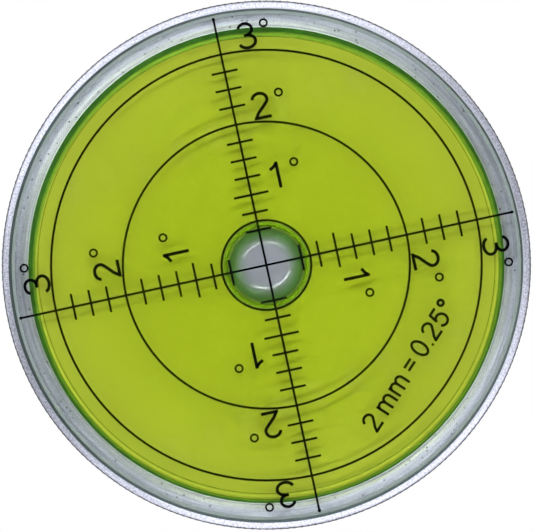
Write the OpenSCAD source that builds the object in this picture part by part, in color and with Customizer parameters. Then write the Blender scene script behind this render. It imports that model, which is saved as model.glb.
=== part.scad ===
// Bullseye level: a sealed acrylic vial with a printed dial, cemented into a knurled aluminium case.
// The origin is the centre of the case's flat underside, and +Z points up through the dial.
// The dial's cross lines run along X and Y.

/* [Case] */
// Outside diameter of the case, over the knurl
case_d = 60; // [57:0.5:90]
// Height of the case
case_h = 12; // [10:0.1:20]
// Wall of the case beside the vial
case_wall = 1; // [0.7:0.05:2.5]
// Floor of the case under the vial
case_floor = 1.6; // [1:0.1:3]
// Chamfer at the two edges of the rim
rim_chamfer = 0.2; // [0.05:0.05:0.3]
// Chamfer round the underside
foot_chamfer = 0.4; // [0.1:0.05:0.6]

/* [Knurl] */
// Pitch of the straight knurl round the side
knurl_pitch = 0.8; // [0.6:0.1:1.6]
// Depth of its grooves
knurl_depth = 0.3; // [0.15:0.05:0.35]
// Width of the flat left on each tooth
knurl_crest = 0.2; // [0.1:0.05:0.3]
// Height of the teeth above the plain lands beside the knurl
knurl_raise = 0.05; // [0.01:0.01:0.08]
// Height of the plain land below the knurl, and of the one above it
land_h = 2; // [1.2:0.1:3]

/* [Vial] */
// Clearance between the vial and the case bore, on the radius
fit_gap = 0.15; // [0.05:0.05:0.4]
// Distance of the vial's top face below the rim
vial_drop = 0.3; // [0.05:0.05:1]
// Wall of the vial beside the liquid
vial_wall = 1.85; // [1.2:0.05:3]
// Chamfer round the vial's top face
vial_chamfer = 0.35; // [0.1:0.05:0.8]
// Thickness of the disc that closes the vial from below
base_t = 2.3; // [1.5:0.1:3]
// Chamfer round the upper edge of that disc
base_chamfer = 0.7; // [0.2:0.1:1.2]
// Thickness of the adhesive between that disc and the case floor
glue_t = 0.3; // [0.1:0.05:0.5]
// Bare ring between the adhesive pad and the vial's wall
glue_margin = 3; // [0.5:0.1:8]

/* [Liquid and bubble] */
// Depth of the liquid in the middle of the vial
liquid_depth = 2.4; // [2:0.1:3]
// Diameter of the bubble where it is widest
bubble_d = 9.5; // [7:0.1:9.8]
// Radius of the bubble's upper edge, under the dome
bubble_shoulder = 0.85; // [0.4:0.05:1]
// Diameter of the bubble's flat foot
bubble_foot_d = 4.6; // [3:0.1:6]
// Film of liquid that stays between the bubble's foot and the disc
film_t = 0.12; // [0.05:0.01:0.3]

/* [Dial] */
// Distance that the bubble moves for one degree of tilt
degree_run = 8.13; // [7.5:0.01:10]
// Marks in each degree
degree_marks = 4; // [2:1:5]
// Diameter of the ring that frames the centred bubble
target_d = 10.17; // [10:0.01:12]
// Length of a plain mark across the cross lines
mark_len = 3; // [1.5:0.1:4]
// Length of the mark at one degree
degree_mark_len = 4; // [2:0.1:6]
// Width of the cross lines and marks
line_w = 0.25; // [0.15:0.01:0.4]
// Width of the ring lines
ring_w = 0.25; // [0.15:0.01:0.4]
// Thickness of the ink
ink_t = 0.05; // [0.03:0.01:0.1]

/* [Hidden] */
$fn = 180;
case_r = case_d / 2;
land_r = case_r - knurl_raise;
knurl_top_z = case_h - land_h;
knurl_teeth = round(PI * case_d / knurl_pitch);
tooth_angle = 360 / knurl_teeth;
// Half of the angle that a tooth's flat crest spans
crest_angle = knurl_crest / case_r * 90 / PI;
// Overshoot of a cut past the face that it opens
cut = 1;
bore_r = case_r - case_wall;
vial_r = bore_r - fit_gap;
vial_top_z = case_h - vial_drop;
flat_r = vial_r - vial_chamfer;
chamber_r = vial_r - vial_wall;
glue_r = chamber_r - glue_margin;
base_z = case_floor + glue_t;
chamber_z = base_z + base_t;
apex_z = chamber_z + liquid_depth;
// A bubble under a dome of radius R moves R * sin(tilt), so the dial's scale sets the dome
dome_r = degree_run / sin(1);
dome_steps = 8;
arc_step = 10;
bubble_r = bubble_d / 2;
bubble_top_r = bubble_r - bubble_shoulder;
bubble_foot_r = bubble_foot_d / 2;
bubble_foot_z = chamber_z + film_t;
bubble_top_z = dome_z(bubble_top_r);
bubble_mid_z = bubble_top_z - bubble_shoulder;
// Whole degrees that fit over the liquid, and the first mark outside the bubble's middle
dial_degrees = floor((chamber_r - ring_w) / degree_run);
first_mark = 2;
mark_pitch = degree_run / degree_marks;

// Height of the dome at a distance r from the axis
function dome_z(r) = apex_z - dome_r + sqrt(dome_r * dome_r - r * r);

// The dome from the bubble's upper edge out to the chamber wall
function dome_profile() = [
    for (i = [0 : dome_steps])
        let (r = bubble_top_r + (chamber_r - bubble_top_r) * i / dome_steps)
            [r, dome_z(r)]
];

// The bubble's skin from the dome down to its foot: a round shoulder, then a long undercut flank
function bubble_profile() = concat(
    [
        for (a = [90 : -arc_step : 0])
            [
                bubble_top_r + bubble_shoulder * cos(a),
                bubble_mid_z + bubble_shoulder * sin(a)
            ]
    ],
    [
        for (a = [-arc_step : -arc_step : -90])
            [
                bubble_foot_r + (bubble_r - bubble_foot_r) * cos(a),
                bubble_mid_z + (bubble_mid_z - bubble_foot_z) * sin(a)
            ]
    ]
);

// The same points in the other order
function reversed(points) = [for (i = [len(points) - 1 : -1 : 0]) points[i]];

// Outline of the knurled band: flat crests with V grooves between them
function knurl_outline() = [
    for (i = [0 : knurl_teeth - 1], side = [-1, 1, 0])
        let (
            a = i * tooth_angle + (side == 0 ? tooth_angle / 2 : side * crest_angle),
            r = side == 0 ? case_r - knurl_depth : case_r
        )
            [r * cos(a), r * sin(a)]
];

// Outside of the cup: chamfered foot, lower land, knurled band, upper land, chamfered rim
module case_blank() {
    rotate_extrude()
        polygon([
            [0, 0],
            [land_r - foot_chamfer, 0],
            [land_r, foot_chamfer],
            [land_r, land_h],
            [0, land_h]
        ]);
    translate([0, 0, land_h])
        linear_extrude(knurl_top_z - land_h)
            polygon(knurl_outline());
    rotate_extrude()
        polygon([
            [0, knurl_top_z],
            [land_r, knurl_top_z],
            [land_r, case_h - rim_chamfer],
            [land_r - rim_chamfer, case_h],
            [0, case_h]
        ]);
}

// Turned and knurled cup with a smooth bore for the vial
module case() {
    color("gainsboro")
        difference() {
            case_blank();
            rotate_extrude()
                polygon([
                    [0, case_floor],
                    [bore_r, case_floor],
                    [bore_r, case_h - rim_chamfer],
                    [bore_r + rim_chamfer, case_h],
                    [bore_r + rim_chamfer + cut, case_h + cut],
                    [0, case_h + cut]
                ]);
        }
}

// Pad that bonds the vial to the case floor
module adhesive_pad() {
    color("beige")
        translate([0, 0, case_floor])
            cylinder(h = glue_t, r = glue_r);
}

// Clear body: a thick flat top whose underside is the ground dome, and a wall down to the case floor
module vial_body() {
    color("lightcyan", 0.35)
        rotate_extrude()
            polygon(concat(
                [
                    [0, apex_z]
                ],
                dome_profile(),
                [
                    [chamber_r, case_floor],
                    [vial_r, case_floor],
                    [vial_r, vial_top_z - vial_chamfer],
                    [flat_r, vial_top_z],
                    [0, vial_top_z]
                ]
            ));
}

// Pale disc cemented into the vial's wall, which closes the chamber and backs the dial
module vial_base() {
    color("lavender")
        rotate_extrude()
            polygon([
                [0, base_z],
                [chamber_r, base_z],
                [chamber_r, chamber_z - base_chamfer],
                [chamber_r - base_chamfer, chamber_z],
                [0, chamber_z]
            ]);
}

// Liquid: all of the chamber but the bubble
module liquid() {
    color("yellowgreen", 0.7)
        rotate_extrude()
            polygon(concat(
                [
                    [0, chamber_z],
                    [chamber_r - base_chamfer, chamber_z],
                    [chamber_r, chamber_z - base_chamfer]
                ],
                reversed(dome_profile()),
                [for (i = [1 : len(bubble_profile()) - 1]) bubble_profile()[i]],
                [
                    [0, bubble_foot_z]
                ]
            ));
}

// Bubble, flattened between the dome and the film of liquid on the disc
module bubble() {
    color("white", 0.5)
        rotate_extrude()
            polygon(concat(
                [
                    [0, apex_z]
                ],
                bubble_profile(),
                [
                    [0, bubble_foot_z]
                ]
            ));
}

// One ring of the dial
module dial_ring(radius) {
    difference() {
        circle(r = radius + ring_w / 2);
        circle(r = radius - ring_w / 2);
    }
}

// One arm of the cross with its marks, along +Y
module dial_arm() {
    translate([-line_w / 2, 0])
        square([line_w, flat_r]);
    for (i = [first_mark : dial_degrees * degree_marks - 1])
        if (i == degree_marks || i % degree_marks != 0)
            translate([0, i * mark_pitch])
                square([i == degree_marks ? degree_mark_len : mark_len, line_w], center = true);
}

// Ink on the vial's top face: cross, marks, the bubble's ring and a ring for each degree from the second
module dial_print() {
    color("black")
        translate([0, 0, vial_top_z])
            linear_extrude(ink_t) {
                for (a = [0 : 90 : 270])
                    rotate(a)
                        dial_arm();
                dial_ring(target_d / 2);
                for (i = [2 : dial_degrees])
                    dial_ring(i * degree_run);
            }
}

case();
adhesive_pad();
vial_body();
vial_base();
liquid();
bubble();
dial_print();
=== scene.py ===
# %% [markdown]
# A bullseye level, seen straight from above. The real object is a turned and knurled aluminium cup
# with a sealed acrylic vial cemented into it. The vial holds a yellow-green liquid and one bubble,
# and its flat top carries a dial printed in black.
# The packed solids are the fixed frame. Nearly every piece of a level is turned on a lathe, so each
# one is modelled here the way a lathe makes it: a half section, spun round the Z axis. The spun
# copies stand where the solids are, with smooth shading, softened edges and true glass.

# %% Load the frame
import math

import bmesh
import bpy
from mathutils import Matrix, Vector


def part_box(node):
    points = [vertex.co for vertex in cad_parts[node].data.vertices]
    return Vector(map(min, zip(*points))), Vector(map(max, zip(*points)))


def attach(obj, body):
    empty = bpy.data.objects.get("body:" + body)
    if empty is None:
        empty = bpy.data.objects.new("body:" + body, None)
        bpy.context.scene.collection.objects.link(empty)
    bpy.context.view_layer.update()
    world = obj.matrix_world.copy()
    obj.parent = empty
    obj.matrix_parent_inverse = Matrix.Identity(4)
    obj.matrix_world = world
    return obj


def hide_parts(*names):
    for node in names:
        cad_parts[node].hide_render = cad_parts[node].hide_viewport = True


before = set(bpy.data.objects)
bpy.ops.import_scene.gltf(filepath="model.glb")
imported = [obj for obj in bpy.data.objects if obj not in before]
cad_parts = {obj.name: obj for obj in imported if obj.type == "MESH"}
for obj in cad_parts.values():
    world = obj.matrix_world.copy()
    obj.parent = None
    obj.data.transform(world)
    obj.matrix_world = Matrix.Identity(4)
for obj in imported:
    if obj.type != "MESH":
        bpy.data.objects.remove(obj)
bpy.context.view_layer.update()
print("solids:", sorted(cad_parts))

# %% [markdown]
# Every size comes from the solids' boxes where a box can tell it. What a box can't tell, such as a
# chamfer or the spacing of the dial, is written once here as a real size.

# %% Sizes of the object
MM = 0.001
case_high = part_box("case")[1]
vial_low, vial_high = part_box("vial_body")
base_low, base_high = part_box("vial_base")
liquid_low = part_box("liquid")[0]
bubble_low, bubble_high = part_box("bubble")
print_low, print_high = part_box("dial_print")

case_r = case_high.x
case_wall = 1.0 * MM
bore_r = case_r - case_wall
rim_z = case_high.z
rim_chamfer = 0.2 * MM
foot_chamfer = 0.4 * MM
land_r = case_r - 0.05 * MM
land_h = 2.0 * MM
knurl_pitch = 0.8 * MM
knurl_depth = 0.3 * MM
knurl_crest = 0.2 * MM
knurl_floor = 0.06 * MM
knurl_teeth = round(math.tau * case_r / knurl_pitch)

vial_r = vial_high.x
vial_top = vial_high.z
vial_chamfer = 0.35 * MM
floor_z = vial_low.z
chamber_r = base_high.x
disc_z = base_high.z
disc_chamfer = disc_z - liquid_low.z
apex_z = bubble_high.z

degree_run = 8.13 * MM
dome_r = degree_run / math.sin(math.radians(1))

bubble_r = bubble_high.x
bubble_shoulder = 0.85 * MM
bubble_foot_r = 2.3 * MM
film_z = bubble_low.z
ink_t = print_high.z - print_low.z
print(f"case {2 * case_r / MM:.1f} x {rim_z / MM:.1f} mm, dome radius {dome_r / MM:.0f} mm")


# %% [markdown]
# The lathe. A profile is a short list of points (radius, height). A bmesh gets those few vertices and
# the edges between them, and `bmesh.ops.spin` turns them into the whole skin. Where the profile
# starts and ends on the axis the spin leaves a ring of doubles, which are merged into one pole.
# Edges sharper than `CREASE` stay crisp, and all others shade smoothly, because a lens that shades
# in facets would show each of them as a streak in the liquid.

# %% The lathe
AXIS = Vector((0, 0, 0))
STEPS = 192
CREASE = math.radians(8)
MERGE_DISTANCE = 1e-7


def mark_sharp(bm):
    for face in bm.faces:
        face.smooth = True
    for edge in bm.edges:
        edge.smooth = len(edge.link_faces) == 2 and edge.calc_face_angle() < CREASE


def new_piece(name, bm, replaced=()):
    mesh = bpy.data.meshes.new(name)
    bm.to_mesh(mesh)
    bm.free()
    piece = bpy.data.objects.new(name, mesh)
    bpy.context.scene.collection.objects.link(piece)
    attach(piece, "root")
    if replaced:
        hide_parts(*replaced)
    return piece


def turned(profile, steps=STEPS):
    bm = bmesh.new()
    verts = [bm.verts.new((r, 0, z)) for r, z in profile]
    edges = [bm.edges.new(pair) for pair in zip(verts, verts[1:])]
    bmesh.ops.spin(
        bm, geom=verts + edges, cent=AXIS, axis=(0, 0, 1), angle=math.tau, steps=steps, use_merge=True
    )
    bmesh.ops.remove_doubles(bm, verts=bm.verts, dist=MERGE_DISTANCE)
    bmesh.ops.recalc_face_normals(bm, faces=bm.faces)
    return bm


print(f"a turn takes {STEPS} steps, and edges over {math.degrees(CREASE):.0f} degrees stay crisp")


# %% [markdown]
# Node helpers. All materials are made of the same few nodes, so a small class keeps the code for each
# of them down to what makes that finish special. It takes any owner of a node tree, so the world at
# the end uses it too. Textures read Object coordinates, in metres.

# %% Node helpers
class Nodes:
    def __init__(self, owner, output="ShaderNodeOutputMaterial"):
        self.owner = owner
        self.owner.use_nodes = True
        self.tree = self.owner.node_tree
        self.tree.nodes.clear()
        self.out = self.add(output)

    def add(self, kind, settings=None, **inputs):
        node = self.tree.nodes.new(kind)
        for key, value in (settings or {}).items():
            setattr(node, key, value)
        for key, value in inputs.items():
            self.feed(node.inputs[key.replace("_", " ")], value)
        return node

    def feed(self, socket, value):
        if isinstance(value, bpy.types.NodeSocket):
            self.tree.links.new(value, socket)
        else:
            socket.default_value = value

    def surface(self, socket):
        self.tree.links.new(socket, self.out.inputs["Surface"])
        return self.owner

    def mix_shaders(self, amount, a, b):
        node = self.add("ShaderNodeMixShader")
        for socket, value in zip(node.inputs, (amount, a, b)):
            self.feed(socket, value)
        return node.outputs[0]

    def position(self):
        return self.add("ShaderNodeTexCoord").outputs["Object"]

    def noise(self, scale, detail=3.0, vector=None, roughness=0.5):
        node = self.add("ShaderNodeTexNoise", Scale=scale, Detail=detail, Roughness=roughness)
        self.feed(node.inputs["Vector"], vector or self.position())
        return node.outputs["Fac"]

    def spread(self, value, low, high, from_low=0.3, from_high=0.7):
        """Carries a value from one range to another. A noise mostly stays between 0.3 and 0.7."""
        node = self.add(
            "ShaderNodeMapRange", Value=value,
            From_Min=from_low, From_Max=from_high, To_Min=low, To_Max=high,
        )
        return node.outputs["Result"]

    def blend(self, amount, a, b):
        node = self.add("ShaderNodeMix", {"data_type": "RGBA"})
        self.feed(node.inputs["Factor"], amount)
        self.feed(node.inputs[6], a)
        self.feed(node.inputs[7], b)
        return node.outputs[2]

    def bump(self, height, strength, distance, normal=None):
        node = self.add("ShaderNodeBump", Height=height, Strength=strength, Distance=distance)
        if normal is not None:
            self.feed(node.inputs["Normal"], normal)
        return node.outputs["Normal"]

    def math(self, operation, a, b=0.0):
        node = self.add("ShaderNodeMath", {"operation": operation})
        self.feed(node.inputs[0], a)
        self.feed(node.inputs[1], b)
        return node.outputs[0]

    def polar(self, centre=(0, 0)):
        """(distance from the centre, angle round it), in metres and radians."""
        moved = self.add("ShaderNodeVectorMath", {"operation": "SUBTRACT"})
        self.feed(moved.inputs[0], self.position())
        self.feed(moved.inputs[1], (*centre, 0))
        parts = self.add("ShaderNodeSeparateXYZ", Vector=moved.outputs[0])
        x, y = parts.outputs["X"], parts.outputs["Y"]
        flat = self.add("ShaderNodeCombineXYZ", X=x, Y=y)
        distance = self.add("ShaderNodeVectorMath", {"operation": "LENGTH"})
        self.feed(distance.inputs[0], flat.outputs[0])
        return distance.outputs["Value"], self.math("ARCTAN2", y, x)

    def specks(self, scale, size):
        """Scattered round dots in patches. `size` is their radius, as a share of a cell."""
        cells = self.add("ShaderNodeTexVoronoi", Vector=self.position(), Scale=scale)
        dots = self.spread(cells.outputs["Distance"], 1.0, 0.0, 0.7 * size, size)
        patches = self.spread(self.noise(90.0, 2.0), 0.0, 1.0, 0.34, 0.44)
        return self.math("MULTIPLY", dots, patches)

    def round_axis(self, per_turn, per_metre):
        """A vector that changes slowly round the axis and fast along the radius, for turned marks."""
        distance, angle = self.polar()
        x, y = (self.math("MULTIPLY", self.math(wave, angle), per_turn) for wave in ("COSINE", "SINE"))
        z = self.math("MULTIPLY", distance, per_metre)
        return self.add("ShaderNodeCombineXYZ", X=x, Y=y, Z=z).outputs[0]

    def ring(self, inner, outer, soft=0.03 * MM, centre=(0, 0)):
        """1 between two distances from the centre, and 0 elsewhere."""
        distance = self.polar(centre)[0]
        rise = self.spread(distance, 0.0, 1.0, inner - soft, inner + soft)
        fall = self.spread(distance, 1.0, 0.0, outer - soft, outer + soft)
        return self.math("MULTIPLY", rise, fall)


print("node helpers:", [name for name in vars(Nodes) if not name.startswith("_")])


# %% [markdown]
# Metal. A lathe leaves fine rings, and they stretch every highlight along the radius: the rim is
# bright towards the lamps and dim a quarter turn away. That is what the anisotropic socket does, with
# a radial tangent turned by a quarter. Over it lies a fine grain. One function makes every metal
# finish, because they differ only in colour and in how strong each kind of mark is.

# %% How metal is made
HATCH_PER_TURN = 440.0
# Radians a metre along the radius, and the share of the hatch's depth, for each of the two cuts
HATCH_CUTS = ((24000.0, 1.0), (-17000.0, 0.5))
# The tool's wide streaks: how many a metre, and the darkest and brightest shade
SOFT_STREAKS, DEEP_STREAKS = (1600.0, 0.8, 1.1), (3400.0, 0.68, 1.16)
DUST = (0.05, 0.06, 0.06, 1)


def metal(name, colour, roughness, grain, mottle, rings=(), hatch=0.0, dust=0.0, streaks=SOFT_STREAKS):
    """Turned metal. Each of `rings` is (inner radius, outer radius, colour, centre)."""
    n = Nodes(bpy.data.materials.new(name))
    distance, angle = n.polar()
    per_metre, darkest, brightest = streaks
    patches = n.noise(scale=180.0, detail=4.0)
    marks = n.noise(scale=1.0, detail=3.0, vector=n.round_axis(per_turn=14.0, per_metre=9000.0))
    wide = n.noise(scale=1.0, detail=2.0, vector=n.round_axis(per_turn=2.5, per_metre=per_metre))
    fine = n.noise(scale=grain, detail=2.0, roughness=0.7)
    shade = n.math("MULTIPLY", n.spread(patches, 0.93, 1.0), n.spread(marks, 0.88, 1.06))
    shade = n.math("MULTIPLY", shade, n.spread(wide, darkest, brightest))
    shade = n.math("MULTIPLY", shade, n.spread(fine, 1.0 - mottle, 1.0 + 0.6 * mottle, 0.36, 0.64))
    if hatch:
        for slope, share in HATCH_CUTS:
            turns = n.math("MULTIPLY", angle, HATCH_PER_TURN)
            across = n.math("MULTIPLY", distance, slope)
            wave = n.math("SINE", n.math("ADD", turns, across))
            shade = n.math("MULTIPLY", shade, n.spread(wave, 1.0 - share * hatch, 1.0, -1.0, 1.0))
    tone = n.add("ShaderNodeVectorMath", {"operation": "SCALE"})
    n.feed(tone.inputs[0], colour)
    n.feed(tone.inputs["Scale"], shade)
    tone = tone.outputs[0]
    if dust:
        tone = n.blend(n.math("MULTIPLY", n.specks(scale=1150.0, size=0.17), dust), tone, DUST)
    for inner, outer, ring_colour, centre in rings:
        tone = n.blend(n.ring(inner, outer, centre=centre), tone, (*ring_colour, 1))
    grainy = n.bump(fine, strength=0.5, distance=0.003 * MM)
    normal = n.bump(marks, strength=0.5, distance=0.002 * MM, normal=grainy)
    tangent = n.add("ShaderNodeTangent", {"direction_type": "RADIAL", "axis": "Z"})
    sheen = n.spread(fine, roughness - 0.03, roughness + 0.03)
    shader = n.add(
        "ShaderNodeBsdfPrincipled", Base_Color=tone, Roughness=sheen, Metallic=1.0,
        Anisotropic=1.0, Anisotropic_Rotation=0.25, Normal=normal, Tangent=tangent.outputs[0],
    )
    return n.surface(shader.outputs[0])


print("streaks a metre:", SOFT_STREAKS[0], "soft,", DEEP_STREAKS[0], "deep")

# %% [markdown]
# The metals of the case. The rim is bare. Its outer edge and the knurl's shoulder are painted dark, as
# painted shade, and the grooves of the knurl are painted darker, as dirt and painted shade. The floor
# inside has streaks and the faint criss-cross of the facing cut, specks of dust that the cement has
# caught, and a paler ring of painted light next to the disc. The bore is painted dark, as painted shade
# for the dark surroundings that it mirrors. The vial sits a little off the middle of the real one, so
# the painted shade of the bore leaves more bare metal on one side.

# %% Metals of the case
BARE_METAL = (0.585, 0.6, 0.705)
CENTRE = (0, 0)
# painted light: a paler green ring on the floor just outside the disc
painted_glow_ring = (chamber_r + 0.03 * MM, chamber_r + 0.14 * MM, (0.45, 0.56, 0.46), CENTRE)
# dirt and painted shade: the knurl's metal deeper than its crests is painted dark
groove_dirt_and_shade = (0, case_r - 0.13 * MM, (0.13, 0.135, 0.16), CENTRE)
# the bore's painted shade is left off the outer part of its chamfer, more on one side, as the vial sits
# off the middle
bare_bore_metal = (bore_r + 0.17 * MM, case_r, (0.6, 0.61, 0.7), (-0.1 * MM, -0.065 * MM))
blasted = {"roughness": 0.44, "grain": 4500.0, "mottle": 0.4}
blasted_rim = metal("blasted_rim", BARE_METAL, **blasted)
# painted shade: the rim's outer edge and the knurl's shoulder are painted near black
painted_dark_edge = metal("painted_dark_edge", (0.10, 0.10, 0.12), **blasted)
knurled_side = metal("knurled_side", BARE_METAL, **blasted, rings=[groove_dirt_and_shade])
turned_floor = metal(
    "turned_floor", (0.34, 0.365, 0.425), roughness=0.4, grain=6000.0, mottle=0.16,
    rings=[painted_glow_ring], hatch=0.14, dust=0.85, streaks=DEEP_STREAKS,
)
# painted shade: the bore and its chamfer are painted dark, for the dark surroundings they mirror
painted_dark_bore = metal(
    "painted_dark_bore", (0.11, 0.15, 0.155), roughness=0.5, grain=9000.0, mottle=0.2, rings=[bare_bore_metal],
)
case_metals = (blasted_rim, turned_floor, painted_dark_bore, painted_dark_edge, knurled_side)
print("metals:", [material.name for material in case_metals])


# %% [markdown]
# Clear and tinted materials. Light is bent where one clear thing meets another, by the ratio of
# their refractive indices, so each boundary is modelled once, on the piece that owns it. The vial's
# outer faces are acrylic against air. Its wet faces are acrylic against liquid, which hardly mirrors.
# The bubble's skin is air against liquid, and the liquid itself only absorbs: a Volume Absorption
# deepens its colour with the way that light goes through it.
# Lamps would reach nothing behind glass without a long search for their paths, so all of these let
# shadow rays straight through, and the print then casts soft shadows on the disc under the liquid.
# The chamfer round the vial's top is left as it was cut: frosted.

# %% Clear finishes
AIR, LIQUID, ACRYLIC = 1.0, 1.38, 1.49


def lets_lamps_through(n, shader, tint):
    """Mixes in a Transparent shader for rays from lamps, so that they light what is behind the glass."""
    open_glass = n.add("ShaderNodeBsdfTransparent", Color=tint)
    ray = n.add("ShaderNodeLightPath")
    return n.mix_shaders(ray.outputs["Is Shadow Ray"], shader, open_glass.outputs[0])


def clear(name, ior, colour=(1, 1, 1), tint=(1, 1, 1), absorb=None, frost=0.0):
    """Glass or a fluid. `absorb` is the (colour, density) that light meets on its way through."""
    n = Nodes(bpy.data.materials.new(name))
    shader = n.add(
        "ShaderNodeBsdfPrincipled", Base_Color=(*colour, 1), Roughness=frost, IOR=ior,
        Transmission_Weight=1.0 - frost,
    )
    if absorb:
        volume = n.add("ShaderNodeVolumeAbsorption", Color=(*absorb[0], 1), Density=absorb[1])
        n.feed(n.out.inputs["Volume"], volume.outputs[0])
    return n.surface(lets_lamps_through(n, shader.outputs[0], (*tint, 1)))


polished_acrylic = clear("polished_acrylic", ACRYLIC / AIR, colour=(0.97, 0.995, 0.985))
cut_acrylic = clear("cut_acrylic", ACRYLIC / AIR, colour=(0.8, 0.93, 0.97), frost=0.75)
gas = clear("gas", AIR, tint=(0.67, 0.67, 0.67))
yellow_green_liquid = clear("yellow_green_liquid", AIR, absorb=((0.903, 0.967, 0.03), 870.0))
print(f"refraction: window {ACRYLIC / AIR:.2f}, dome {ACRYLIC / LIQUID:.2f}, skin {AIR / LIQUID:.2f}")

# %% [markdown]
# The dome and the bubble's skin change from the middle out, so their colours are painted by distance
# from the axis. Liquid clings round the bubble's upper edge, and a thin darker collar is painted on the
# dome there, as painted shade where that curved edge bends the view aside. The bubble's curved flank
# throws light aside, so its skin is painted darker and greener, as painted shade, and lets less of the
# lamps' light through, the further it climbs from the flat foot. A thin coat on the skin carries the
# bright arcs, which are the lamps' mirror images.

# %% Dome and skin
WHITE = (1, 1, 1, 1)
RIPPLES_PER_METRE = 23000.0


def wet_dome(name, collar_shade):
    n = Nodes(bpy.data.materials.new(name))
    distance = n.polar()[0]
    # painted shade: a thin darker, greener collar with ripples round the bubble's edge
    collar = n.ring(bubble_r - 0.3 * MM, bubble_r + 0.22 * MM, soft=0.05 * MM)
    ripple = n.math("SINE", n.math("MULTIPLY", distance, RIPPLES_PER_METRE))
    collar = n.math("MULTIPLY", collar, n.spread(ripple, 0.4, 1.0, -1.0, 1.0))
    shader = n.add(
        "ShaderNodeBsdfPrincipled", Base_Color=n.blend(collar, WHITE, (*collar_shade, 1)),
        Roughness=0.0, IOR=ACRYLIC / LIQUID, Transmission_Weight=1.0,
    )
    return n.surface(lets_lamps_through(n, shader.outputs[0], WHITE))


def bubble_skin(name, foot, flank, foot_tint, flank_tint):
    n = Nodes(bpy.data.materials.new(name))
    distance = n.polar()[0]
    # painted shade: darker and greener from the flat foot out over the flank
    climb = n.spread(distance, 0.0, 1.0, bubble_foot_r - 0.2 * MM, bubble_r - 0.9 * MM)
    edge = n.spread(distance, 1.0, 0.5, bubble_r - 0.8 * MM, bubble_r - 0.5 * MM)
    climb = n.math("MULTIPLY", climb, edge)
    shader = n.add(
        "ShaderNodeBsdfPrincipled", Base_Color=n.blend(climb, (*foot, 1), (*flank, 1)),
        Roughness=0.0, IOR=AIR / LIQUID, Transmission_Weight=1.0,
        Coat_Weight=1.0, Coat_Roughness=0.1, Coat_IOR=1.5,
    )
    tint = n.blend(climb, (*foot_tint, 1), (*flank_tint, 1))
    return n.surface(lets_lamps_through(n, shader.outputs[0], tint))


wet_acrylic = wet_dome("wet_acrylic", collar_shade=(0.25, 0.7, 0.95))
skin = bubble_skin(
    "skin", foot=(0.73, 0.76, 0.9), flank=(0.2, 0.56, 0.14),
    foot_tint=(0.42, 0.42, 0.52), flank_tint=(0.12, 0.2, 0.12),
)
print("painted by distance:", wet_acrylic.name, skin.name)


# %% [markdown]
# Solid finishes: the disc under the liquid, the resin that holds the vial, and the ink. The disc is
# cemented into the vial's wall. Thin rings are painted near the disc's edge: a thin dark line, a
# painted highlight, and dark green and blue painted shade along the foot of the vial's wall, which sits
# a little off the middle. Each ring is painted by its distance from its own centre, and streaks that
# run round the axis make it ragged.

# %% Solid finishes
# centres of the painted shade rings, a little off the middle
SHADE_EDGE_CENTRE, SHADE_BAND_CENTRE = (0.06 * MM, -0.19 * MM), (0.015 * MM, -0.3 * MM)


def matte(name, colour, darker, roughness, grain, relief, gloss=0.5, rings=()):
    """A matte solid. Each of `rings` is (inner radius, outer radius, colour, raggedness, centre)."""
    n = Nodes(bpy.data.materials.new(name))
    cloud = n.noise(scale=120.0, detail=4.0)
    fine = n.noise(scale=grain, detail=3.0)
    tone = n.blend(n.spread(cloud, 0.0, 1.0), (*darker, 1), (*colour, 1))
    if rings:
        streaks = n.noise(scale=1.0, detail=2.0, vector=n.round_axis(per_turn=30.0, per_metre=5000.0))
    for inner, outer, ring_colour, ragged, centre in rings:
        streaky = n.spread(streaks, 1.0 - ragged, 1.0)
        cover = n.math("MULTIPLY", n.ring(inner, outer, centre=centre), streaky)
        tone = n.blend(cover, tone, (*ring_colour, 1))
    sheen = n.spread(fine, roughness - 0.06, roughness + 0.06)
    shader = n.add(
        "ShaderNodeBsdfPrincipled", Base_Color=tone, Roughness=sheen,
        Normal=n.bump(fine, strength=relief, distance=0.04 * MM), Specular_IOR_Level=gloss,
    )
    return n.surface(shader.outputs[0])


thin_dark_line = (chamber_r - 1.1 * MM, chamber_r - 0.99 * MM, (0.1, 0.16, 0.2), 0.4, CENTRE)
# painted highlight: a pale ring just inside the disc's edge
painted_highlight_ring = (chamber_r - 0.82 * MM, chamber_r - 0.5 * MM, (0.76, 0.76, 0.84), 0.6, CENTRE)
# painted shade: dark green and blue rings along the foot of the vial's wall
painted_shade_band = (chamber_r - 0.66 * MM, chamber_r + 0.4 * MM, (0.22, 0.44, 0.5), 0.3, SHADE_BAND_CENTRE)
painted_shade_line = (chamber_r - 0.7 * MM, chamber_r - 0.62 * MM, (0.1, 0.3, 0.4), 0.5, SHADE_BAND_CENTRE)
painted_shade_edge = (chamber_r - 0.34 * MM, chamber_r + 0.4 * MM, (0.06, 0.22, 0.42), 0.1, SHADE_EDGE_CENTRE)
disc_plastic = matte(
    "disc_plastic", (0.555, 0.545, 0.655), (0.525, 0.515, 0.625),
    roughness=0.6, grain=9000.0, relief=0.12,
    rings=[thin_dark_line, painted_highlight_ring, painted_shade_band, painted_shade_line, painted_shade_edge],
)
cured_resin = matte(
    "cured_resin", (0.70, 0.68, 0.55), (0.62, 0.60, 0.48),
    roughness=0.4, grain=2500.0, relief=0.2,
)
black_ink = matte(
    "black_ink", (0.004, 0.004, 0.006), (0.002, 0.002, 0.004),
    roughness=0.8, grain=14000.0, relief=0.15, gloss=0.02,
)
print("solid finishes:", disc_plastic.name, cured_resin.name, black_ink.name)


# %% [markdown]
# The case. Its half section runs from the middle of the underside out, up the side, over the rim and
# down the bore to the middle of the floor. The spin makes four copies for each tooth of the knurl.
# Knurling is then what the tool does: in the band between the two lands, two of those four copies
# move together into a crest, and the other two sink into the groove beside it. Last, each face gets
# the finish of its place: floor, bore, outer edge, knurled band, or the rim's own for all the rest.

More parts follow.
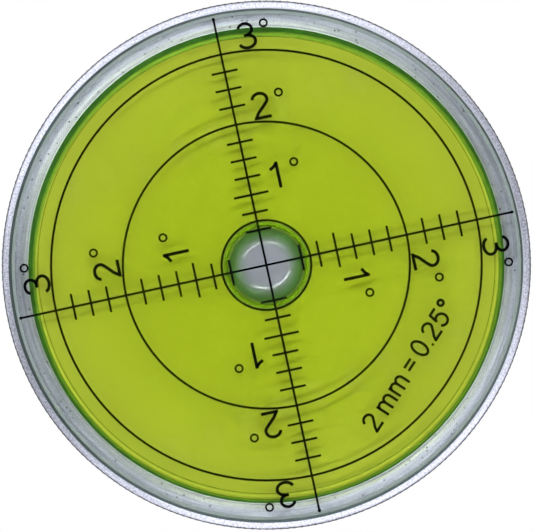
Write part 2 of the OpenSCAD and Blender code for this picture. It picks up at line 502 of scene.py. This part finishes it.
# %% The case
OVERLAP = 0.01 * MM


def finish_faces(piece, materials, finish_at):
    """Gives each face the one of the materials that `finish_at` names for its centre and normal."""
    for material in materials:
        piece.data.materials.append(material)
    for face in piece.data.polygons:
        face.material_index = materials.index(finish_at(Vector(face.center), face.normal))


def case_finish(place, normal):
    radius = place.xy.length
    if floor_z - OVERLAP < place.z < rim_z - OVERLAP and radius < bore_r + rim_chamfer:
        return turned_floor if place.z < floor_z + OVERLAP else painted_dark_bore
    if radius > land_r - rim_chamfer / 2 and normal.z > 0.5:
        return painted_dark_edge
    if radius > bore_r and land_h < place.z < rim_z - land_h:
        return knurled_side
    return blasted_rim


def knurl(bm):
    step = math.tau / (4 * knurl_teeth)
    crest, groove = knurl_crest / 2 / case_r, knurl_floor / 2 / case_r
    offsets = [-crest, crest, 2 * step - groove, 2 * step + groove]
    depths = [0, 0, knurl_depth, knurl_depth]
    for vert in bm.verts:
        if vert.co.xy.length > case_r - OVERLAP:
            tooth, phase = divmod(round(math.atan2(vert.co.y, vert.co.x) / step), 4)
            angle, radius = 4 * tooth * step + offsets[phase], case_r - depths[phase]
            vert.co.xy = (radius * math.cos(angle), radius * math.sin(angle))


case_bm = turned([
    (0, 0),
    (land_r - foot_chamfer, 0),
    (land_r, foot_chamfer),
    (land_r, land_h),
    (case_r, land_h),
    (case_r, rim_z - land_h),
    (land_r, rim_z - land_h),
    (land_r, rim_z - rim_chamfer),
    (land_r - rim_chamfer / 2, rim_z - rim_chamfer / 2),
    (land_r - rim_chamfer, rim_z),
    (bore_r + rim_chamfer, rim_z),
    (bore_r, rim_z - rim_chamfer),
    (bore_r, floor_z),
    (0, floor_z),
], 4 * knurl_teeth)
knurl(case_bm)
mark_sharp(case_bm)
case_shell = new_piece("case_shell", case_bm, ["case"])
finish_faces(case_shell, case_metals, case_finish)
print("case:", len(case_shell.data.polygons), "faces,", knurl_teeth, "teeth")

# %% [markdown]
# The vial body: a thick window with a flat top and a ground dome below, and a wall that stands on the
# case floor. The dome is a shallow arc, so its points come from the circle's equation. The outer
# faces are polished, but for the frosted chamfer round the top. The faces that touch the liquid get
# their own material that mirrors nothing, as acrylic against liquid hardly does.

# %% The vial body
def dome_z(r):
    return apex_z - dome_r + math.sqrt(dome_r ** 2 - r ** 2)


def dome_profile(r_in, r_out, count=24):
    radii = [r_in + (r_out - r_in) * i / count for i in range(count + 1)]
    return [(r, dome_z(r)) for r in radii]


def vial_finish(place, normal):
    radius = place.xy.length
    wet = bubble_r - bubble_shoulder < radius < chamber_r + OVERLAP
    if wet and place.z < apex_z + OVERLAP:
        return wet_acrylic
    if radius > vial_r - vial_chamfer and vial_top - vial_chamfer < place.z < vial_top - OVERLAP:
        return cut_acrylic
    return polished_acrylic


vial_bm = turned(
    [(0, apex_z)] + dome_profile(bubble_r - bubble_shoulder, chamber_r) + [
        (chamber_r, floor_z + OVERLAP),
        (vial_r, floor_z + OVERLAP),
        (vial_r, vial_top - vial_chamfer),
        (vial_r - vial_chamfer, vial_top),
        (0, vial_top),
    ]
)
mark_sharp(vial_bm)
vial_acrylic = new_piece("vial_acrylic", vial_bm, ["vial_body"])
finish_faces(vial_acrylic, (polished_acrylic, wet_acrylic, cut_acrylic), vial_finish)
print(f"the dome drops {(apex_z - dome_z(chamber_r)) / MM:.2f} mm from its middle to the vial's wall")

# %% [markdown]
# The disc that closes the vial, with its broken upper edge, and the resin under it. Both are plain
# turned shapes, and `soften` bevels their sharp rings a little: the edges of a moulded disc and of a
# cured drop are never quite sharp.

# %% Disc and resin
SHARP = math.radians(30)


def soften(bm, width, segments):
    sharp_edges = [e for e in bm.edges if len(e.link_faces) == 2 and e.calc_face_angle() > SHARP]
    bmesh.ops.bevel(
        bm, geom=sharp_edges, offset=width, offset_type="OFFSET", segments=segments,
        profile=0.5, affect="EDGES", clamp_overlap=True, material=-1,
    )


disc_bm = turned([
    (0, base_low.z), (chamber_r, base_low.z), (chamber_r, disc_z - disc_chamfer),
    (chamber_r - disc_chamfer, disc_z), (0, disc_z),
])
soften(disc_bm, width=0.05 * MM, segments=2)
mark_sharp(disc_bm)
backing_disc = new_piece("backing_disc", disc_bm, ["vial_base"])
backing_disc.data.materials.append(disc_plastic)

pad_low, pad_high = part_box("adhesive_pad")
pad_bm = turned([(0, pad_low.z), (pad_high.x, pad_low.z), (pad_high.x, pad_high.z), (0, pad_high.z)])
soften(pad_bm, width=0.1 * MM, segments=3)
mark_sharp(pad_bm)
resin_pad = new_piece("resin_pad", pad_bm, ["adhesive_pad"])
resin_pad.data.materials.append(cured_resin)
print(f"disc {(disc_z - base_low.z) / MM:.1f} mm thick, resin {(pad_high.z - pad_low.z) / MM:.1f} mm")

# %% [markdown]
# Liquid and bubble. The bubble is squeezed between the dome and a thin film on the disc: a round
# shoulder at the top, and a flank that runs in to a flat foot, each a quarter of an ellipse. The
# liquid's section follows the same points, so its inner wall is the bubble's skin. It reaches a hair
# into the walls, and the bubble stays a hair inside it, so that no two faces lie in one place.

# %% Liquid and bubble
def quarter_ellipse(x, z, wide, high, start, count=16):
    """Points of a quarter turn about (x, z), in steps from the angle `start` down, in degrees."""
    angles = [math.radians(start - 90 * i / count) for i in range(count + 1)]
    return [(x + wide * math.cos(a), z + high * math.sin(a)) for a in angles]


def bubble_profile(grow=0.0):
    top_r = bubble_r - bubble_shoulder
    mid_z = dome_z(top_r) - bubble_shoulder
    round_r = bubble_shoulder + grow
    flank_wide, flank_high = bubble_r + grow - bubble_foot_r, mid_z - film_z + grow
    shoulder = quarter_ellipse(top_r, mid_z, round_r, round_r, start=90)
    flank = quarter_ellipse(bubble_foot_r, mid_z, flank_wide, flank_high, start=0)
    return shoulder + flank[1:]


def bubble_finish(place, normal):
    return skin if place.z < dome_z(bubble_r - bubble_shoulder) - 2 * OVERLAP else gas


ceiling = [(r, z + OVERLAP) for r, z in dome_profile(bubble_r - bubble_shoulder, chamber_r + OVERLAP)]
bed = [
    (0, disc_z - OVERLAP),
    (chamber_r - disc_chamfer, disc_z - OVERLAP),
    (chamber_r + OVERLAP, disc_z - disc_chamfer - OVERLAP),
]
liquid_bm = turned(bed + ceiling[::-1] + bubble_profile()[1:] + [(0, film_z)])
mark_sharp(liquid_bm)
liquid_fill = new_piece("liquid_fill", liquid_bm, ["liquid"])
liquid_fill.data.materials.append(yellow_green_liquid)

bubble_bm = turned([(0, apex_z - OVERLAP)] + bubble_profile(-OVERLAP) + [(0, film_z + OVERLAP)])
mark_sharp(bubble_bm)
gas_bubble = new_piece("gas_bubble", bubble_bm, ["bubble"])
finish_faces(gas_bubble, (gas, skin), bubble_finish)
print("liquid:", len(liquid_fill.data.polygons), "faces, bubble:", len(gas_bubble.data.polygons))

# %% [markdown]
# The printed lines are flat and fine in the frame already, so its own solid stays and only gets ink.

# %% Printed lines
dial_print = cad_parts["dial_print"]
dial_print.data.materials.clear()
dial_print.data.materials.append(black_ink)
print(f"ink {ink_t / MM:.2f} mm thick")

# %% [markdown]
# Numerals. A glyph is drawn the way a plotter does, with a pen of one width along a few strokes. Each
# stroke is a list of points in millimetres, straight or on an arc, and `ribbon` gives it a width: two
# points beside each one, with a mitre at the bends. The mitre of a sharp bend is kept short.

# %% The pen
CLOSED = 0.001
LEAST_MITRE = 0.5


def arc(x, y, rx, ry, start, end, count=20):
    """Points on an ellipse about (x, y), from one angle to another in degrees."""
    angles = [math.radians(start + (end - start) * i / count) for i in range(count + 1)]
    return [(x + rx * math.cos(a), y + ry * math.sin(a)) for a in angles]


def ribbon(bm, points, width, place):
    points = [Vector(point) for point in points]
    closed = (points[0] - points[-1]).length < CLOSED
    spans = [(b - a).normalized() for a, b in zip(points, points[1:])]
    before = [spans[-1] if closed else spans[0]] + spans
    after = spans + [spans[0] if closed else spans[-1]]
    sides = []
    for point, a, b in zip(points, before, after):
        mitre = max(LEAST_MITRE, math.sqrt((1 + a.dot(b)) / 2))
        across = (a + b).normalized().orthogonal() * (width / 2 / mitre)
        sides.append([bm.verts.new(place @ (point + s * across).to_3d()) for s in (1, -1)])
    for (a, b), (c, d) in zip(sides, sides[1:]):
        bm.faces.new((a, b, d, c))


ONE = [[(0.93, 0.0), (0.93, 3.0)], [(0.93, 2.85), (0.62, 2.5), (0.1, 2.18)]]
TWO = [
    arc(1.0, 2.2, 0.84, 0.72, 172, -28) + [(1.25, 1.35), (0.6, 0.75), (0.22, 0.15)],
    [(0.02, 0.15), (1.98, 0.15)],
]
THREE = [
    arc(0.96, 2.25, 0.78, 0.67, 165, -90) + [(0.72, 1.58)],
    arc(0.98, 0.86, 0.94, 0.72, 90, -165),
]
DEGREE = [arc(0, 0, 0.41, 0.41, 0, 360)]
print("strokes:", [len(glyph) for glyph in (ONE, TWO, THREE, DEGREE)])

# %% [markdown]
# The dial reads the same from four sides, so each group of numerals is drawn four times, a quarter
# turn apart. Each numeral has its place beside one arm of the cross, and its degree sign another. A
# small dot ends each line of the cross.

# %% Numerals and dots
PEN, THIN_PEN = 0.35, 0.22
NUMERALS = ((ONE, 2.56, 8.24), (TWO, 2.19, 16.28), (THREE, 2.27, 24.35))
DEGREE_SIGNS = ((5.5, 10.8), (5.47, 18.86), (5.45, 26.9))
DOT_REACH, DOT_R = 28.45 * MM, 0.19 * MM
TO_METRES = Matrix.Scale(MM, 4)
on_dial = Matrix.Translation((0, 0, print_low.z))

ink_bm = bmesh.new()


def draw(strokes, width, place):
    for stroke in strokes:
        ribbon(ink_bm, stroke, width, on_dial @ TO_METRES @ place)


for quarter in range(4):
    turn_dial = Matrix.Rotation(math.radians(90 * quarter), 4, "Z")
    for glyph, x, y in NUMERALS:
        draw(glyph, PEN, turn_dial @ Matrix.Translation((x, y, 0)))
    for x, y in DEGREE_SIGNS:
        draw(DEGREE, THIN_PEN, turn_dial @ Matrix.Translation((x, y, 0)))
    dot = turn_dial @ on_dial @ Matrix.Translation((0, DOT_REACH, 0))
    bmesh.ops.create_circle(ink_bm, cap_ends=True, segments=24, radius=DOT_R, matrix=dot)
print("flat faces of the numerals and dots:", len(ink_bm.faces))

# %% [markdown]
# The note on the lower right says what one mark of the dial stands for. It runs at 45 degrees to the
# cross. Each glyph comes with its advance: how far the pen moves on before it draws the next one.

# %% The note
NOTE_PEN = 0.3
NOTE_START, NOTE_BASELINE = -9.2, -20.85
M = [
    [(0.12, 0), (0.12, 1.66)],
    [(0.12, 0.9)] + arc(0.59, 1.05, 0.47, 0.5, 170, 0) + [(1.06, 0)],
    [(1.06, 0.9)] + arc(1.53, 1.05, 0.47, 0.5, 170, 0) + [(2.0, 0)],
]
FIVE = [
    [(1.35, 2.18), (0.38, 2.18), (0.2, 1.12)],
    [(0.2, 1.12)] + arc(0.72, 0.82, 0.66, 0.7, 130, -155),
]
SMALL_TWO = [[(0.72 * x, 0.745 * y) for x, y in stroke] for stroke in TWO]
ZERO = [arc(0.75, 1.15, 0.62, 1.04, 0, 360, 32)]
EQUALS = [[(0.1, 0.8), (1.4, 0.8)], [(0.1, 1.4), (1.4, 1.4)]]
POINT = [[(0.3, 0), (0.3, 0.26)]]
NOTE = (
    (SMALL_TWO, 2.35), (M, 2.5), (M, 2.9), (EQUALS, 2.2), (ZERO, 1.6), (POINT, 0.75),
    (SMALL_TWO, 1.75), (FIVE, 1.95), ([arc(0.3, 1.95, 0.33, 0.33, 0, 360)], 0),
)
note_turn = Matrix.Rotation(math.radians(45), 4, "Z")
pen_x = NOTE_START
for glyph, advance in NOTE:
    draw(glyph, NOTE_PEN, note_turn @ Matrix.Translation((pen_x, NOTE_BASELINE, 0)))
    pen_x += advance
print(f"note from {NOTE_START:.1f} to {pen_x:.1f} mm")

# %% [markdown]
# All of it is still flat. One extrusion gives it the thickness of the ink, and the normals are
# recalculated, because a ribbon can be drawn either way round.

# %% Thickness of the ink
lift = bmesh.ops.extrude_face_region(ink_bm, geom=ink_bm.faces[:])
raised = [v for v in lift["geom"] if isinstance(v, bmesh.types.BMVert)]
bmesh.ops.translate(ink_bm, verts=raised, vec=(0, 0, ink_t))
bmesh.ops.recalc_face_normals(ink_bm, faces=ink_bm.faces)
dial_numerals = new_piece("dial_numerals", ink_bm)
dial_numerals.data.materials.append(black_ink)
print("numerals:", len(dial_numerals.data.polygons), "faces")

# %% [markdown]
# The camera looks straight down from far away, with the dial turned by `DIAL_TURN`. Where the case's
# outline lies in the picture, in pixels, gives the lens and the small shift sideways.

# %% Camera
DIAL_TURN = math.radians(12.2)
IMAGE_W, IMAGE_H = 533, 532
OUTLINE_CENTRE = (266.4, 265.1)
OUTLINE_RADIUS = 264.9
SENSOR = 36.0
CAMERA_HEIGHT = 2.5

scene = bpy.context.scene
metres_per_pixel = case_r / OUTLINE_RADIUS
camera_data = bpy.data.cameras.new("camera")
camera_data.sensor_width = SENSOR
camera_data.lens = SENSOR * (CAMERA_HEIGHT - rim_z) / (metres_per_pixel * IMAGE_W)
camera_data.clip_start = 0.01
camera_data.clip_end = 20.0
camera = bpy.data.objects.new("camera", camera_data)
scene.collection.objects.link(camera)
turn = Matrix.Rotation(-DIAL_TURN, 4, "Z")
shift = Vector((
    (IMAGE_W / 2 - OUTLINE_CENTRE[0]) * metres_per_pixel,
    (OUTLINE_CENTRE[1] - IMAGE_H / 2) * metres_per_pixel,
    CAMERA_HEIGHT,
))
camera.matrix_world = turn @ Matrix.Translation(shift)
scene.camera = camera
print(f"lens {camera_data.lens:.0f} mm")

# %% [markdown]
# Two strips of small lamps hang close to the vertical, one towards the top of the picture and one
# towards its bottom. They cast two shadows of each printed line that runs across the picture, and
# their mirror images are the bright arcs in the bubble. A real strip is a row of diodes, so a row of
# small area lamps stands for each. The strip towards the top is the stronger one.

# %% Lamps
LAMP_TURN = Matrix.Rotation(math.radians(22), 4, "Z")
LAMP_TILT = math.radians(7.4)
LAMP_DISTANCE = 0.7
STRIP_LENGTH, STRIP_WIDTH = 0.22, 0.018
DIODES = 9
DIODE_SHARE = 0.4


def lamp_strip(name, tilt, power):
    pitch = STRIP_LENGTH / DIODES
    for i in range(DIODES):
        data = bpy.data.lights.new(f"{name}_{i}", "AREA")
        data.shape = "RECTANGLE"
        data.size = DIODE_SHARE * pitch
        data.size_y = STRIP_WIDTH
        data.energy = power / DIODES
        lamp = bpy.data.objects.new(f"{name}_{i}", data)
        lamp.visible_camera = False
        scene.collection.objects.link(lamp)
        place = Matrix.Translation(((i - (DIODES - 1) / 2) * pitch, 0, LAMP_DISTANCE))
        lamp.matrix_world = turn @ LAMP_TURN @ Matrix.Rotation(tilt, 4, "X") @ place


lamp_strip("upper_strip", -LAMP_TILT, power=1.4)
lamp_strip("lower_strip", LAMP_TILT, power=0.98)
print("lamps:", len(bpy.data.lights))

# %% [markdown]
# The floor. The level lies on a light table, so the floor is an even white light, which also reaches
# the knurled side. It is far wider than the level, and a hair below it.

# %% The floor
FLOOR_REACH = 2.0
FLOOR_DROP = 0.2 * MM

white_nodes = Nodes(bpy.data.materials.new("white_floor"))
white_light = white_nodes.add("ShaderNodeEmission", Color=WHITE, Strength=1.0)
white_floor = white_nodes.surface(white_light.outputs[0])

floor_bm = bmesh.new()
bmesh.ops.create_grid(floor_bm, x_segments=1, y_segments=1, size=FLOOR_REACH)
floor_mesh = bpy.data.meshes.new("floor")
floor_bm.to_mesh(floor_mesh)
floor_bm.free()
floor = bpy.data.objects.new("floor", floor_mesh)
floor.data.materials.append(white_floor)
floor.location.z = -FLOOR_DROP
scene.collection.objects.link(floor)
print(f"floor {floor.dimensions.x:.0f} m wide")

# %% [markdown]
# The world is a studio with a dim ceiling and brighter, faintly blue walls, so its strength fades
# from the walls up. What the camera sees of the walls is plain white, so that the picture is white
# behind the level too when it is looked at from the side. Metal and glass show the same white walls,
# because their rays, glossy and transmitted, are treated as the camera's are. Heights run from 0 at
# the horizon to 1 straight up.

# %% The world
WALLS, CEILING = 0.45, 0.07
FADE_FROM, FADE_TO = 0.2, 0.55
WHITE_FROM, WHITE_TO = 0.1, 0.25

studio = bpy.data.worlds.new("studio")
scene.world = studio
sky = Nodes(studio, "ShaderNodeOutputWorld")
direction = sky.add("ShaderNodeTexCoord").outputs["Generated"]
height = sky.add("ShaderNodeSeparateXYZ", Vector=direction).outputs["Z"]
fade = sky.spread(height, WALLS, CEILING, FADE_FROM, FADE_TO)
studio_light = sky.add("ShaderNodeBackground", Color=(0.78, 0.86, 1.0, 1), Strength=fade)
backdrop = sky.add("ShaderNodeBackground", Color=WHITE, Strength=1.0)
ray = sky.add("ShaderNodeLightPath").outputs
seen = sky.math("MAXIMUM", ray["Is Camera Ray"], ray["Is Glossy Ray"])
seen = sky.math("MAXIMUM", seen, ray["Is Transmission Ray"])
white_part = sky.math("MULTIPLY", seen, sky.spread(height, 1.0, 0.0, WHITE_FROM, WHITE_TO))
sky.surface(sky.mix_shaders(white_part, studio_light.outputs[0], backdrop.outputs[0]))

scene.view_settings.view_transform = "Standard"
print("world:", scene.world.name, "and view:", scene.view_settings.view_transform)

# %% [markdown]
